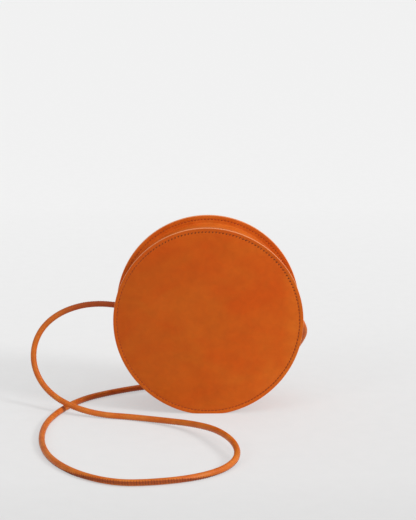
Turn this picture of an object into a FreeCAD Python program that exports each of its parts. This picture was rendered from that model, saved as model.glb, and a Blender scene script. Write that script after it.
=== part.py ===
import FreeCAD, Part
import math
import os
from FreeCAD import Vector

# A round leather crossbody bag: two domed discs sewn raw edge out to a flanged gusset,
# a zip over the top of the gusset, and a rolled leather strap from side to side.
# Millimetres. X to the wearer's right in the picture, Y away from the front panel, Z up.
# The origin is on the ground under the middle of the bag.

# Body
bag_diameter = 192.0
bag_depth = 70.0
resting_flat = 0.2
panel_leather = 2.0
panel_dome = 4.0
gusset_leather = 1.5
flange_height = 9.0
flange_bend = 1.5

# Mouth, which opens along the zip. The zip's ends are this far above the middle of the bag,
# and the fold that the front opens along is this much higher
mouth_height = 35.0
fold_rise = 12.0
fold_gap = 0.3
zip_opening = 9.0

# Seams
stitch_inset = 3.2
zip_stitch_inset = 2.5
thread_width = 0.7
thread_height = 0.35
thread_lift = 0.05

# Zip chain
seat_gap = 0.3
tape_thickness = 0.6
tape_overlap = 7.5
chain_width = 4.3
tooth_height = 2.0
tooth_pitch = 2.1
tooth_length = 1.2
tooth_reach = 0.85
stop_length = 2.0
chain_end_space = 1.0

# Zip slider and its pull
slider_length = 9.5
slider_width = 7.5
slider_plate = 0.8
slider_clearance = 0.4
slider_web = 0.7
web_length_share = 0.4
lug_thickness = 1.2
lug_radius = 1.3
pin_height = 1.6
pin_radius = 0.55
pin_clearance = 0.05
pull_arm_thickness = 0.8
pull_arm_gap = 0.3
pull_arm_radius = 1.0
pull_arm_length = 4.0
pull_plate_length = 4.0
pull_plate_thickness = 0.9
tongue_length = 4.0
tongue_width = 2.6
pull_leather_length = 12.0
pull_leather_width = 6.0
pull_leather_thickness = 2.2
pull_leather_clearance = 0.05
pull_tilt = 3.0

# Strap, its two knots and the patches inside that it is drawn against
strap_diameter = 6.0
strap_hole_clearance = 0.6
strap_end_inset = 5.85
knot_radius = 6.5
knot_seat = 5.0
patch_radius = 13.0
patch_leather = 1.5

# The strap from the left side, round its loop on the ground and behind the bag to the right side
strap_route = [
    (-79.5, 0.0, 102.4),
    (-93.5, 0.0, 104.7),
    (-111.5, 0.0, 106.3),
    (-131.5, 1.0, 103.8),
    (-152.0, 2.0, 95.7),
    (-168.5, 2.0, 82.2),
    (-178.0, 0.0, 64.3),
    (-179.0, -6.0, 45.1),
    (-171.5, -10.0, 26.0),
    (-156.0, -23.5, 14.2),
    (-134.5, -38.5, 7.8),
    (-107.5, -48.0, 3.4),
    (-77.5, -53.5, 3.0),
    (-47.0, -67.5, 4.2),
    (-15.5, -89.0, 7.8),
    (7.5, -115.5, 10.8),
    (23.5, -151.0, 10.8),
    (26.5, -178.0, 6.2),
    (14.0, -202.5, 3.4),
    (-12.5, -223.0, 3.0),
    (-48.5, -234.0, 3.0),
    (-83.5, -235.5, 3.0),
    (-118.5, -213.5, 3.0),
    (-145.5, -176.0, 3.0),
    (-159.5, -130.5, 3.0),
    (-161.5, -77.5, 3.0),
    (-151.0, -34.0, 3.0),
    (-131.0, 5.0, 3.0),
    (-101.0, 27.0, 3.8),
    (-62.0, 47.0, 4.2),
    (-32.0, 52.0, 3.4),
    (6.0, 61.0, 3.0),
    (42.0, 61.0, 6.2),
    (70.0, 54.0, 19.6),
    (88.0, 43.0, 39.0),
    (96.6, 29.0, 55.2),
    (100.3, 15.0, 70.0),
    (98.4, 5.0, 84.0),
    (89.7, 0.5, 95.4),
    (79.8, 0.0, 103.4),
]
bend_share = 0.45

# Places that follow from the sizes above
overrun = bag_diameter
rim_radius = bag_diameter / 2
half_depth = bag_depth / 2
centre_height = rim_radius - resting_flat
gusset_radius = rim_radius - flange_height
gusset_inside = gusset_radius - gusset_leather
seam_band = flange_height + flange_bend
flange_face = half_depth - panel_leather
channel_face = flange_face - gusset_leather
stitch_radius = rim_radius - stitch_inset
fold_height = mouth_height + fold_rise
fold_side = fold_height + fold_gap
tape_outside = gusset_inside - seat_gap
tape_inside = tape_outside - tape_thickness
chain_radius = (tape_outside + tape_inside) / 2
tooth_inside = chain_radius - tooth_height / 2
tooth_outside = chain_radius + tooth_height / 2
chain_half = chain_width / 2
chain_middle = slider_web / 2 + seat_gap
bead_edge = chain_middle + tooth_reach
slider_inside = tooth_inside - slider_clearance
slider_outside = tooth_outside + slider_clearance
slider_top = slider_outside + slider_plate
pin_place = slider_top + pin_height
strap_radius = strap_diameter / 2


def arc_degrees(length, radius):
    """The ring angle that a length takes up on a circle of the given radius."""
    return math.degrees(length / radius)


mouth_angle = math.degrees(math.asin((mouth_height + seat_gap) / tooth_inside))
stop_angle = mouth_angle + arc_degrees(chain_end_space, chain_radius)
first_tooth = stop_angle + arc_degrees(stop_length + chain_end_space, chain_radius)
slider_half_angle = arc_degrees(slider_length / 2, chain_radius)
slider_angle = 180 - first_tooth - slider_half_angle - arc_degrees(chain_end_space, chain_radius)

ORIGIN = Vector(0, 0, 0)
RING_AXIS = Vector(0, -1, 0)


def closed_face(edges):
    return Part.Face(Part.Wire(Part.__sortEdges__(edges)))


def line(start, end):
    return Part.makeLine(Vector(start[0], start[1], 0), Vector(end[0], end[1], 0))


def arc(centre, radius, start, middle, end):
    """An arc in the radius and depth plane, from start to end through the middle angle, in degrees."""
    points = []
    for angle in (start, middle, end):
        turn = math.radians(angle)
        points.append(Vector(centre[0] + radius * math.cos(turn), centre[1] + radius * math.sin(turn), 0))
    return Part.Arc(points[0], points[1], points[2]).toShape()


def full_ring(edges):
    return closed_face(edges).revolve(ORIGIN, RING_AXIS, 360)


def band(inner, outer, near, far, start=0.0, sweep=360.0):
    """A ring of rectangular section, or a stretch of one from the ring angle start."""
    corners = [(inner, near), (outer, near), (outer, far), (inner, far)]
    edges = [line(corners[i - 1], corners[i]) for i in range(len(corners))]
    shape = closed_face(edges).revolve(ORIGIN, RING_AXIS, sweep)
    shape.rotate(ORIGIN, RING_AXIS, start)
    return shape


def slab(near, far, bottom, top):
    """A block as wide as the cut needs, between two depths and two heights."""
    return Part.makeBox(2 * overrun, far - near, top - bottom, Vector(-overrun, near, bottom))


def above(shape, level):
    return shape.common(slab(-overrun, overrun, level, overrun))


def below(shape, level):
    return shape.common(slab(-overrun, overrun, -overrun, level))


def on_ground(shape):
    """The shape pressed flat where the bag stands."""
    return above(shape, -centre_height)


def save(name, shape):
    """Write one node, with the ring's middle lifted to its height above the ground."""
    piece = shape.copy()
    piece.translate(Vector(0, 0, centre_height))
    solids = piece.Solids
    if len(solids) == 1:
        piece = solids[0]
    else:
        piece = Part.Compound(solids)
    piece.exportStep("parts/" + name + ".step")
    print(name, len(solids), "solids", round(piece.Volume, 1), "mm3", "valid" if piece.isValid() else "INVALID")


def domed_panel(side):
    """A leather disc, flat along its seam and domed outwards inside it."""
    dome_radius = rim_radius - seam_band
    sphere_radius = (dome_radius ** 2 + panel_dome ** 2) / (2 * panel_dome)
    half_angle = math.degrees(math.asin(dome_radius / sphere_radius))
    edges = []
    for face in (half_depth, flange_face):
        middle = (0, side * (face + panel_dome - sphere_radius))
        edges.append(arc(middle, sphere_radius, side * 90, side * (90 - half_angle / 2), side * (90 - half_angle)))
        edges.append(line((dome_radius, side * face), (rim_radius, side * face)))
    edges.append(line((rim_radius, side * flange_face), (rim_radius, side * half_depth)))
    edges.append(line((0, side * (flange_face + panel_dome)), (0, side * (half_depth + panel_dome))))
    return on_ground(full_ring(edges))


def gusset_ring():
    """The gusset all the way round: a floor and two flanges turned outwards along folded corners."""
    fold_radius = gusset_radius + flange_bend
    fold_depth = channel_face - flange_bend
    edges = [line((rim_radius, -channel_face), (fold_radius, -channel_face))]
    edges.append(arc((fold_radius, -fold_depth), flange_bend, 180, 225, 270))
    edges.append(line((gusset_radius, -fold_depth), (gusset_radius, fold_depth)))
    edges.append(arc((fold_radius, fold_depth), flange_bend, 90, 135, 180))
    edges.append(line((fold_radius, channel_face), (rim_radius, channel_face)))
    edges.append(line((rim_radius, channel_face), (rim_radius, flange_face)))
    edges.append(line((rim_radius, flange_face), (fold_radius, flange_face)))
    edges.append(arc((fold_radius, fold_depth), flange_bend + gusset_leather, 90, 135, 180))
    edges.append(line((gusset_inside, fold_depth), (gusset_inside, -fold_depth)))
    edges.append(arc((fold_radius, -fold_depth), flange_bend + gusset_leather, 180, 225, 270))
    edges.append(line((fold_radius, -flange_face), (rim_radius, -flange_face)))
    edges.append(line((rim_radius, -flange_face), (rim_radius, -channel_face)))
    return full_ring(edges)


def strap_points():
    """The route laid on the ground, grown with the bag so that its ends stay as far inside the gusset."""
    share = 2 * (gusset_inside - strap_end_inset) / (strap_route[-1][0] - strap_route[0][0])
    lowest = min(point[2] for point in strap_route)
    points = []
    for x, y, z in strap_route:
        height = strap_radius + share * (z - lowest)
        points.append(Vector(share * x, share * y, height - centre_height))
    return points


def strap_exit(end, beyond):
    """Where the straight end of the strap crosses the middle of the gusset's leather, and its direction."""
    direction = (beyond - end).normalize()
    middle = (gusset_radius + gusset_inside) / 2
    along = end.x * direction.x + end.z * direction.z
    flat = direction.x ** 2 + direction.z ** 2
    outside = end.x ** 2 + end.z ** 2 - middle ** 2
    step = (-along + math.sqrt(along ** 2 - flat * outside)) / flat
    return end + direction * step, direction


def strap_hole(place, direction):
    radius = strap_radius + strap_hole_clearance
    reach = patch_radius
    return Part.makeCylinder(radius, 2 * reach, place - direction * reach, direction)


def anchor_patch(place, direction):
    """A round leather patch glued inside the gusset round the strap's hole."""
    outer = gusset_inside - seat_gap
    shell = band(outer - patch_leather, outer, -patch_radius, patch_radius)
    radial = Vector(place.x, 0, place.z).normalize()
    disc = Part.makeCylinder(patch_radius, gusset_radius, Vector(0, place.y, 0), radial)
    return shell.common(disc).cut(strap_hole(place, direction))


def strap_knot(end, direction):
    """The knot at the strap's end, a rounded lump with a flat where the strap's run begins."""
    lump = Part.makeSphere(knot_radius)
    lump = lump.common(Part.makeBox(knot_radius + knot_seat, 2 * knot_radius, 2 * knot_radius,
                                    Vector(-knot_radius, -knot_radius, -knot_radius)))
    lump.Placement = FreeCAD.Placement(end - direction * knot_seat, FreeCAD.Rotation(Vector(1, 0, 0), direction))
    return lump


def strap_tube(points):
    """A round tube along straight runs and tangent arcs, each arc as large as its runs allow."""
    edges = []
    length = 0
    start = points[0]
    radii = []
    for i in range(1, len(points) - 1):
        back = points[i - 1] - points[i]
        ahead = points[i + 1] - points[i]
        tangent = bend_share * min(back.Length, ahead.Length)
        back.normalize()
        ahead.normalize()
        half_turn = (math.pi - back.getAngle(ahead)) / 2
        radius = tangent / math.tan(half_turn)
        inward = (back + ahead).normalize()
        arc_start = points[i] + back * tangent
        arc_end = points[i] + ahead * tangent
        arc_middle = points[i] + inward * (radius / math.cos(half_turn) - radius)
        edges.append(Part.LineSegment(start, arc_start).toShape())
        edges.append(Part.Arc(arc_start, arc_middle, arc_end).toShape())
        length += (arc_start - start).Length + 2 * half_turn * radius
        radii.append(round(radius, 1))
        start = arc_end
    edges.append(Part.LineSegment(start, points[-1]).toShape())
    length += (points[-1] - start).Length
    path = Part.Wire(edges)
    section = Part.Wire(Part.makeCircle(strap_radius, points[0], points[1] - points[0]))
    tube = path.makePipeShell([section], True, False)
    expected = math.pi * strap_radius ** 2 * length
    print("strap length", round(length, 1), "radii", radii, "least in diameters", round(min(radii) / strap_diameter, 2))
    print("strap volume share of section times length", round(tube.Volume / expected, 5))
    return tube


def tooth_row(side):
    """One half of the zip chain: a bead along the tape's edge with its row of teeth."""
    edge = sorted((side * chain_half, side * bead_edge))
    tip = sorted((side * bead_edge, side * chain_middle))
    row_angle = 180 - 2 * first_tooth
    bead = band(tooth_inside, tooth_outside, edge[0], edge[1], first_tooth, row_angle)
    tooth_angle = arc_degrees(tooth_length, chain_radius)
    count = int(math.radians(row_angle) * chain_radius / tooth_pitch)
    step = (row_angle - tooth_angle) / (count - 1)
    teeth = []
    for i in range(count):
        teeth.append(band(tooth_inside, tooth_outside, tip[0], tip[1], first_tooth + i * step, tooth_angle))
    return bead.fuse(teeth).removeSplitter()


def zip_slider():
    """Two plates round the chain, held together by a web between the tooth rows, with a lug on top."""
    start = slider_angle - slider_half_angle
    sweep = 2 * slider_half_angle
    half = slider_width / 2
    channel = chain_half + slider_clearance
    top = band(slider_outside, slider_top, -half, half, start, sweep)
    others = [band(slider_inside - slider_plate, slider_inside, -half, half, start, sweep)]
    web_sweep = sweep * web_length_share
    others.append(band(slider_inside, slider_outside, -slider_web / 2, slider_web / 2, start, web_sweep))
    for near, far in ((-half, -channel), (channel, half)):
        others.append(band(tape_outside + slider_clearance, slider_outside, near, far, start, sweep))
        others.append(band(slider_inside, tape_inside - slider_clearance, near, far, start, sweep))
    lug_angle = arc_degrees(lug_radius, pin_place)
    others.append(band(slider_outside, pin_place, -lug_thickness / 2, lug_thickness / 2,
                       slider_angle - lug_angle, 2 * lug_angle))
    others.append(across(lug_radius, lug_thickness))
    return top.fuse(others).removeSplitter().cut(across(pin_radius + pin_clearance, slider_width))


def across(radius, length):
    """A cylinder across the bag at the pin's place on the slider."""
    cylinder = Part.makeCylinder(radius, length, Vector(pin_place, -length / 2, 0), Vector(0, 1, 0))
    cylinder.rotate(ORIGIN, RING_AXIS, slider_angle)
    return cylinder


def pull_block(start, end, near, far, thickness):
    """A block along the pull, from the pin outwards, laid the way the pull rests."""
    return Part.makeBox(end - start, far - near, thickness, Vector(start, near, -thickness / 2))


def lay_pull(shape):
    """Turn a pull drawn along X about its pin, and move it to the pin's place."""
    shape.rotate(ORIGIN, RING_AXIS, slider_angle + 90 + pull_tilt)
    turn = math.radians(slider_angle)
    shape.translate(Vector(pin_place * math.cos(turn), 0, pin_place * math.sin(turn)))
    return shape


def zip_pull():
    """The metal pull: a pin through the lug, two arms, a plate and the tongue inside the leather."""
    arm_near = lug_thickness / 2 + pull_arm_gap
    arm_far = arm_near + pull_arm_thickness
    plate_end = pull_arm_length + pull_plate_length
    pin = Part.makeCylinder(pin_radius, 2 * arm_far, Vector(0, -arm_far, 0), Vector(0, 1, 0))
    others = [pull_block(pull_arm_length, plate_end, -arm_far, arm_far, pull_plate_thickness)]
    others.append(pull_block(plate_end, plate_end + tongue_length, -tongue_width / 2, tongue_width / 2,
                             pull_plate_thickness))
    for near in (-arm_far, arm_near):
        far = near + pull_arm_thickness
        others.append(Part.makeCylinder(pull_arm_radius, pull_arm_thickness, Vector(0, near, 0), Vector(0, 1, 0)))
        others.append(pull_block(0, pull_arm_length, near, far, pull_plate_thickness))
    return lay_pull(pin.fuse(others).removeSplitter())


def zip_pull_leather():
    """A folded leather tab over the pull's tongue, rounded at its free end."""
    start = pull_arm_length + pull_plate_length
    half = pull_leather_width / 2
    end = start + pull_leather_length
    tab = pull_block(start, end - half, -half, half, pull_leather_thickness)
    tip = Part.makeCylinder(half, pull_leather_thickness, Vector(end - half, 0, -pull_leather_thickness / 2))
    pocket_half = tongue_width / 2 + pull_leather_clearance
    pocket = pull_block(start, start + tongue_length + pull_leather_clearance, -pocket_half, pocket_half,
                        pull_plate_thickness + 2 * pull_leather_clearance)
    return lay_pull(tab.fuse(tip).removeSplitter().cut(pocket))


def seam_thread(side):
    """The thread's two runs along a panel's seam: one on the panel, one on the flange inside."""
    runs = []
    inner = stitch_radius - thread_width / 2
    for face, height in ((half_depth, thread_height), (channel_face, -thread_height)):
        ends = sorted((side * face, side * (face + height)))
        runs.append(band(inner, inner + thread_width, ends[0], ends[1]))
    return Part.Compound(runs)


def build_body(points):
    ring = gusset_ring()
    front = domed_panel(-1)
    save("front_panel_lower", below(front, fold_height))
    save("front_panel_upper", above(front, fold_side))
    save("back_panel", domed_panel(1))
    lower = on_ground(below(ring, mouth_height))
    for name, end, beyond in (("left", points[0], points[1]), ("right", points[-1], points[-2])):
        place, direction = strap_exit(end, beyond)
        lower = lower.cut(strap_hole(place, direction))
        save("anchor_patch_" + name, anchor_patch(place, direction))
        save("strap_knot_" + name, strap_knot(end, direction))
    save("lower_gusset", lower)
    opening = zip_opening / 2
    strip = above(ring, mouth_height)
    front_strip = strip.common(slab(-overrun, -opening, 0, overrun))
    save("zip_strip_front_ends", below(front_strip, fold_height))
    save("zip_strip_front", above(front_strip, fold_side))
    save("zip_strip_back", strip.common(slab(opening, overrun, 0, overrun)))


def build_zip():
    far = zip_opening / 2 + tape_overlap
    stitch = zip_opening / 2 + zip_stitch_inset
    stop_sweep = arc_degrees(stop_length, chain_radius)
    thread_inside = gusset_radius + thread_lift
    for name, side in (("front", -1), ("back", 1)):
        edges = sorted((side * chain_half, side * far))
        save("zip_tape_" + name, above(band(tape_inside, tape_outside, edges[0], edges[1]), mouth_height))
        save("zip_teeth_" + name, tooth_row(side))
        ends = sorted((side * chain_half, side * chain_middle))
        start = 180 - stop_angle - stop_sweep
        save("zip_top_stop_" + name, band(tooth_inside, tooth_outside, ends[0], ends[1], start, stop_sweep))
        thread = sorted((side * stitch, side * (stitch + thread_width)))
        run = above(band(thread_inside, thread_inside + thread_height, thread[0], thread[1]), mouth_height)
        if side < 0:
            save("zip_thread_front_ends", below(run, fold_height))
            save("zip_thread_front", above(run, fold_side))
        else:
            save("zip_thread_back", run)
    save("zip_bottom_stop", band(tooth_inside, tooth_outside, -chain_half, chain_half, stop_angle, stop_sweep))
    save("zip_slider", zip_slider())
    save("zip_pull", zip_pull())
    save("zip_pull_leather", zip_pull_leather())


def build_seams():
    front = seam_thread(-1)
    save("front_seam_thread_lower", below(front, fold_height))
    save("front_seam_thread_upper", above(front, fold_side))
    save("back_seam_thread", seam_thread(1))


os.makedirs("parts", exist_ok=True)
route = strap_points()
build_body(route)
build_zip()
build_seams()
save("strap", strap_tube(route))
travel = 2 * slider_angle - 180
print("centre height", centre_height, "slider angle", round(slider_angle, 3), "travel", round(travel, 3))
print("pin place", round(pin_place, 3), "mouth angle", round(mouth_angle, 3))
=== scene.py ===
import math

import bpy
import numpy as np
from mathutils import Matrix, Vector


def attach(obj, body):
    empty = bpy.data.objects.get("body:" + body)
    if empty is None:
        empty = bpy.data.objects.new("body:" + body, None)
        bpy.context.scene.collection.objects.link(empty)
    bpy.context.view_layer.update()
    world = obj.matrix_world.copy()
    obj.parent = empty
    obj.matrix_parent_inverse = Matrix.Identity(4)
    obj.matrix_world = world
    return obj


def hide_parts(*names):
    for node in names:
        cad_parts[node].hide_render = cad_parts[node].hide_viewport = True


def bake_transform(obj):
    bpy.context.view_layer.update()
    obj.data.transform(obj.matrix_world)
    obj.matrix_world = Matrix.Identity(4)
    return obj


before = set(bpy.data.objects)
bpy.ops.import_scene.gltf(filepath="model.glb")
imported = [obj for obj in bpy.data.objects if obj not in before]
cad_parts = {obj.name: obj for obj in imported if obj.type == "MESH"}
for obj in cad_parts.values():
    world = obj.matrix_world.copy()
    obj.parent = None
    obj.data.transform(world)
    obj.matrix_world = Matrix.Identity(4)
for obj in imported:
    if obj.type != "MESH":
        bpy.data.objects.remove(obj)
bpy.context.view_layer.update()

scene = bpy.context.scene
scene.view_settings.view_transform = "Standard"

MM = 0.001
FULL_TURN = 2 * math.pi
ACROSS = np.array([0.0, 1.0, 0.0])

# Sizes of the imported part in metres. Ring angles run from +X towards +Z about the bag's middle.
CENTRE = 0.0958
RIM = 0.096
MOUTH = 0.035
CHAIN = 0.0849
PIN = 0.0887
STRAP_DIAMETER = 0.006
SLIDER_ANGLE = math.radians(148.539)
PULL_ANGLE = SLIDER_ANGLE + math.radians(93.0)
FIRST_TOOTH = math.radians(27.58)
STOP_ANGLE = math.radians(26.23)

# Sizes of the leather in millimetres: radii about the bag's middle, and depths from its mid-plane
RIM_RADIUS = 96.0
RAW_FROM = 95.7
SEAM = 91.9
DOME = 4.0
DOME_EDGE = 90.5
PANEL_FACE = 35.0
PANEL_BACK = 33.05
BEND_RADIUS = 88.5
BEND_DEPTH = 30.0
BEND_OUTSIDE = 1.5
BEND_INSIDE = 2.95
FLOOR_OUTSIDE = BEND_RADIUS - BEND_OUTSIDE
FLOOR_INSIDE = BEND_RADIUS - BEND_INSIDE
FLANGE_OUTSIDE = BEND_DEPTH + BEND_OUTSIDE
FLANGE_INSIDE = BEND_DEPTH + BEND_INSIDE

# How far hand-sewn leather departs from the even part, in metres
SAG = 0.0015
FRONT_DIP = 0.0013
TAKE_UP = 0.00075
OVAL = 0.00035
LEAN = 0.0004
DENT = 0.00042
PRESSED = 0.0006


# Camera, at the photograph's viewing angle
CAMERA_PLACE = (-0.0121, -1.42770, 0.45978)
CAMERA_TILT = 0.212823
CAMERA_TURN = -0.0083853
camera_data = bpy.data.cameras.new("camera")
camera_data.sensor_width = 36.0
camera_data.lens = 99.97
camera_data.clip_end = 200.0
camera = bpy.data.objects.new("camera", camera_data)
camera.location = CAMERA_PLACE
camera.rotation_euler = (math.pi / 2 - CAMERA_TILT, 0, CAMERA_TURN)
scene.collection.objects.link(camera)
scene.camera = camera


# Numbers and directions

def smooth(low, high, x):
    """0 up to low, 1 from high, with an even rise between."""
    t = np.clip((np.asarray(x, float) - low) / (high - low), 0, 1)
    return t * t * (3 - 2 * t)


def within(rise, fall, x):
    """1 between a rise and a fall, which are each given by their two ends, and 0 outside."""
    return smooth(*rise, x) * (1 - smooth(*fall, x))


def bell(distance, width):
    return np.exp(-(distance / width) ** 2)


def unit(vectors):
    return vectors / np.linalg.norm(vectors, axis=-1, keepdims=True)


def turns(count):
    """Angles evenly round a full turn."""
    return np.linspace(0, FULL_TURN, count, endpoint=False)


def ring_out(angle):
    return np.array([math.cos(angle), 0.0, math.sin(angle)])


def ring_ahead(angle):
    return np.array([-math.sin(angle), 0.0, math.cos(angle)])


def on_ring(radius, angle, depth):
    """Points at a radius and an angle about the bag's middle."""
    across, up = radius * np.cos(angle), CENTRE + radius * np.sin(angle)
    return np.stack(np.broadcast_arrays(across, depth, up), -1)


def along_ring(points, angle):
    """Points (along, across, radius) laid on the ring at an angle, bent to its curve."""
    p = np.asarray(points, float)
    return on_ring(p[:, 2], angle + p[:, 0] / CHAIN, p[:, 1])


def carried(along, start):
    """Side directions along a line, turning no more than the line does."""
    side = start - along[0] * (start @ along[0])
    out = []
    for t in along:
        side = unit(side - t * (side @ t))
        out.append(side)
    return np.array(out)


def settle(points):
    """The unevenness of hand-sewn leather, one field for all pieces so that seams stay closed, and the rims
    pressed flat on the ground. The zip's own strip stays even."""
    p = np.array(points, float)
    x, y, h = p[:, 0], p[:, 1], p[:, 2] - CENTRE
    angle = np.arctan2(h, x)
    radius = np.hypot(x, h)
    give = 1 - smooth(0.018, 0.034, h) * (1 - smooth(0.010, 0.024, np.abs(y)))
    from_below = np.abs(np.mod(angle + 1.5 * math.pi, FULL_TURN) - math.pi)
    sag = SAG * bell(from_below, 0.52)
    dip = FRONT_DIP * bell(angle - 1.15, 0.62) * smooth(0.022, 0.031, -y)
    grow = (sag - dip - TAKE_UP - OVAL * np.cos(2 * angle)) * (radius / RIM) ** 6 * give
    waves = np.sin(31 * x + 1.1) * np.cos(27 * h + 0.4) + 0.6 * np.sin(47 * h + 19 * x + 2.0)
    p[:, 0] += grow * np.cos(angle)
    p[:, 1] += LEAN * waves * give * np.sign(y) * smooth(0.0, 0.03, np.abs(y))
    p[:, 2] += grow * np.sin(angle)
    low = p[:, 2] < PRESSED
    p[low, 2] = PRESSED * np.exp((p[low, 2] - PRESSED) / PRESSED)
    return p


# Meshes

def make_piece(name, verts, faces, material, values=None):
    """A smooth mesh object with a material and named values at its points, which the material reads."""
    mesh = bpy.data.meshes.new(name)
    mesh.from_pydata([tuple(v) for v in verts], [], [tuple(int(i) for i in f) for f in faces])
    mesh.validate()
    mesh.polygons.foreach_set("use_smooth", [True] * len(mesh.polygons))
    for key, numbers in (values or {}).items():
        numbers = np.asarray(numbers, np.float32)
        kind, field = ("FLOAT", "value") if numbers.ndim == 1 else ("FLOAT_VECTOR", "vector")
        mesh.attributes.new(key, kind, "POINT").data.foreach_set(field, numbers.ravel())
    mesh.materials.append(material)
    mesh.update()
    piece = bpy.data.objects.new(name, mesh)
    scene.collection.objects.link(piece)
    return piece


def outward(piece, join=None):
    """Turns every face outwards. Points closer together than a join distance become one first."""
    bpy.context.view_layer.objects.active = piece
    for other in bpy.context.selected_objects:
        other.select_set(False)
    piece.select_set(True)
    bpy.ops.object.mode_set(mode="EDIT")
    bpy.ops.mesh.select_all(action="SELECT")
    if join:
        bpy.ops.mesh.remove_doubles(threshold=join)
    bpy.ops.mesh.normals_make_consistent(inside=False)
    bpy.ops.object.mode_set(mode="OBJECT")
    piece.select_set(False)
    return piece


def weld(piece):
    """Joins the points that its blocks share along their edges, and turns every face outwards."""
    return outward(piece, join=0.000002)


class Build:
    """Collects several closed shells into one mesh."""

    def __init__(self):
        self.verts, self.faces, self.values = [], [], {}
        self.count = 0

    def add(self, verts, faces, **values):
        verts = np.asarray(verts, float).reshape(-1, 3)
        self.faces += [[i + self.count for i in f] for f in faces]
        self.verts.append(verts)
        for key, numbers in values.items():
            self.values.setdefault(key, []).append(np.asarray(numbers, float))
        self.count += len(verts)

    def add_plate(self, lay, outline, low, high, bevel, upright=False):
        """A plate in millimetres, laid in place by a function. An upright one stands on its edge."""
        verts, faces = plate(outline, low, high, bevel)
        if upright:
            verts = verts[:, [0, 2, 1]]
        self.add(lay(verts * MM), faces)

    def piece(self, name, material):
        values = {k: np.concatenate(v) for k, v in self.values.items()}
        return make_piece(name, np.concatenate(self.verts), self.faces, material, values)


def grid_faces(rows, columns, wrap_rows=False, wrap_columns=False):
    """Faces between the points of a grid, which may close on itself either way."""
    faces = []
    for i in range(rows if wrap_rows else rows - 1):
        for j in range(columns if wrap_columns else columns - 1):
            a, b = i * columns + j, i * columns + (j + 1) % columns
            c, d = ((i + 1) % rows) * columns + (j + 1) % columns, ((i + 1) % rows) * columns + j
            faces.append((a, b, c, d))
    return faces


def capped_faces(rows, columns):
    """Faces of a pipe of rings, with both ends closed."""
    ends = [tuple(range(columns))[::-1], tuple(range((rows - 1) * columns, rows * columns))]
    return grid_faces(rows, columns, wrap_columns=True) + ends


def end_faces(start, count):
    """Faces that close a strip's end, where its section is a loop of that many points, out and back."""
    pairs = range(count // 2 - 1)
    return [(start + k, start + k + 1, start + count - 2 - k, start + count - 1 - k) for k in pairs]


def plate(outline, low, high, bevel):
    """A flat plate of that outline with rounded edges, as points (a, b, c) and faces."""
    ring = np.asarray(outline, float)
    ahead, back = np.roll(ring, -1, 0), np.roll(ring, 1, 0)
    along = ahead - back
    normal = unit(np.stack([along[:, 1], -along[:, 0]], 1))
    area = np.sum(ring[:, 0] * ahead[:, 1] - ring[:, 1] * ahead[:, 0])
    normal *= 1 if area > 0 else -1
    steps = [(1.0, 0.0), (0.3, 0.29), (0.0, 1.0)]
    levels = [(inset, low + bevel * rise) for inset, rise in steps]
    levels += [(inset, high - bevel * rise) for inset, rise in reversed(steps)]
    verts = []
    for inset, level in levels:
        flat = ring - normal * bevel * inset
        verts.append(np.column_stack([flat, np.full(len(flat), level)]))
    count = len(ring)
    faces = grid_faces(len(levels), count, wrap_columns=True)
    middle = ring.mean(0)
    verts = np.concatenate(verts + [np.array([[*middle, low], [*middle, high]])])
    top = (len(levels) - 1) * count
    for j in range(count):
        faces.append((j, (j + 1) % count, len(verts) - 2))
        faces.append((top + (j + 1) % count, top + j, len(verts) - 1))
    return verts, faces


def tube(points, radius, sides):
    """A round tube along points, closed with domed ends, as points and faces."""
    points = np.asarray(points, float)
    along = unit(np.gradient(points, axis=0))
    askew = np.array([0.31, 0.27, 0.91])
    side = carried(along, askew)
    other = np.cross(along, side)
    turn = turns(sides)[None, :, None]
    rings = points[:, None] + radius * (np.cos(turn) * side[:, None] + np.sin(turn) * other[:, None])
    bulge = 0.35 * radius
    tips = [points[0] - along[0] * bulge, points[-1] + along[-1] * bulge]
    verts = np.concatenate([rings.reshape(-1, 3), tips])
    faces = grid_faces(len(points), sides, wrap_columns=True)
    last = (len(points) - 1) * sides
    for j in range(sides):
        faces.append(((j + 1) % sides, j, len(verts) - 2))
        faces.append((last + j, last + (j + 1) % sides, len(verts) - 1))
    return verts, faces


def rounded(low, high, pinch=0.0):
    """A small block with rounded edges, slimmer at its middle if pinched, as points (a, b, c) and faces."""
    steps = np.linspace(-1, 1, 5)
    verts, faces = [], []
    for axis in range(3):
        for end in (-1, 1):
            base = len(verts)
            for u in steps:
                for v in steps:
                    verts.append(np.roll((end, u, v), axis))
            faces += [tuple(base + i for i in f) for f in grid_faces(len(steps), len(steps))]
    verts = np.array(verts)
    soft = verts / (np.sum(np.abs(verts) ** 6, axis=1) ** (1 / 6))[:, None]
    soft[:, 0] *= 1 - pinch * (1 - verts[:, 1] ** 2)
    low, high = np.array(low) * MM, np.array(high) * MM
    return (low + high) / 2 + soft * (high - low) / 2, faces


def bar(start, end, half_width):
    """The corners of a straight bar."""
    return [(start, -half_width), (end, -half_width), (end, half_width), (start, half_width)]


def rounded_outline(corners, radius):
    """A closed outline with each corner rounded."""
    corners = np.asarray(corners, float)
    out = []
    for i, p in enumerate(corners):
        back, ahead = corners[i - 1] - p, corners[(i + 1) % len(corners)] - p
        cut = min(radius, 0.45 * np.linalg.norm(back), 0.45 * np.linalg.norm(ahead))
        a, b = p + unit(back) * cut, p + unit(ahead) * cut
        for t in np.linspace(0, 1, 6):
            out.append((1 - t) ** 2 * a + 2 * t * (1 - t) * p + t * t * b)
    return np.array(out)


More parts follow.
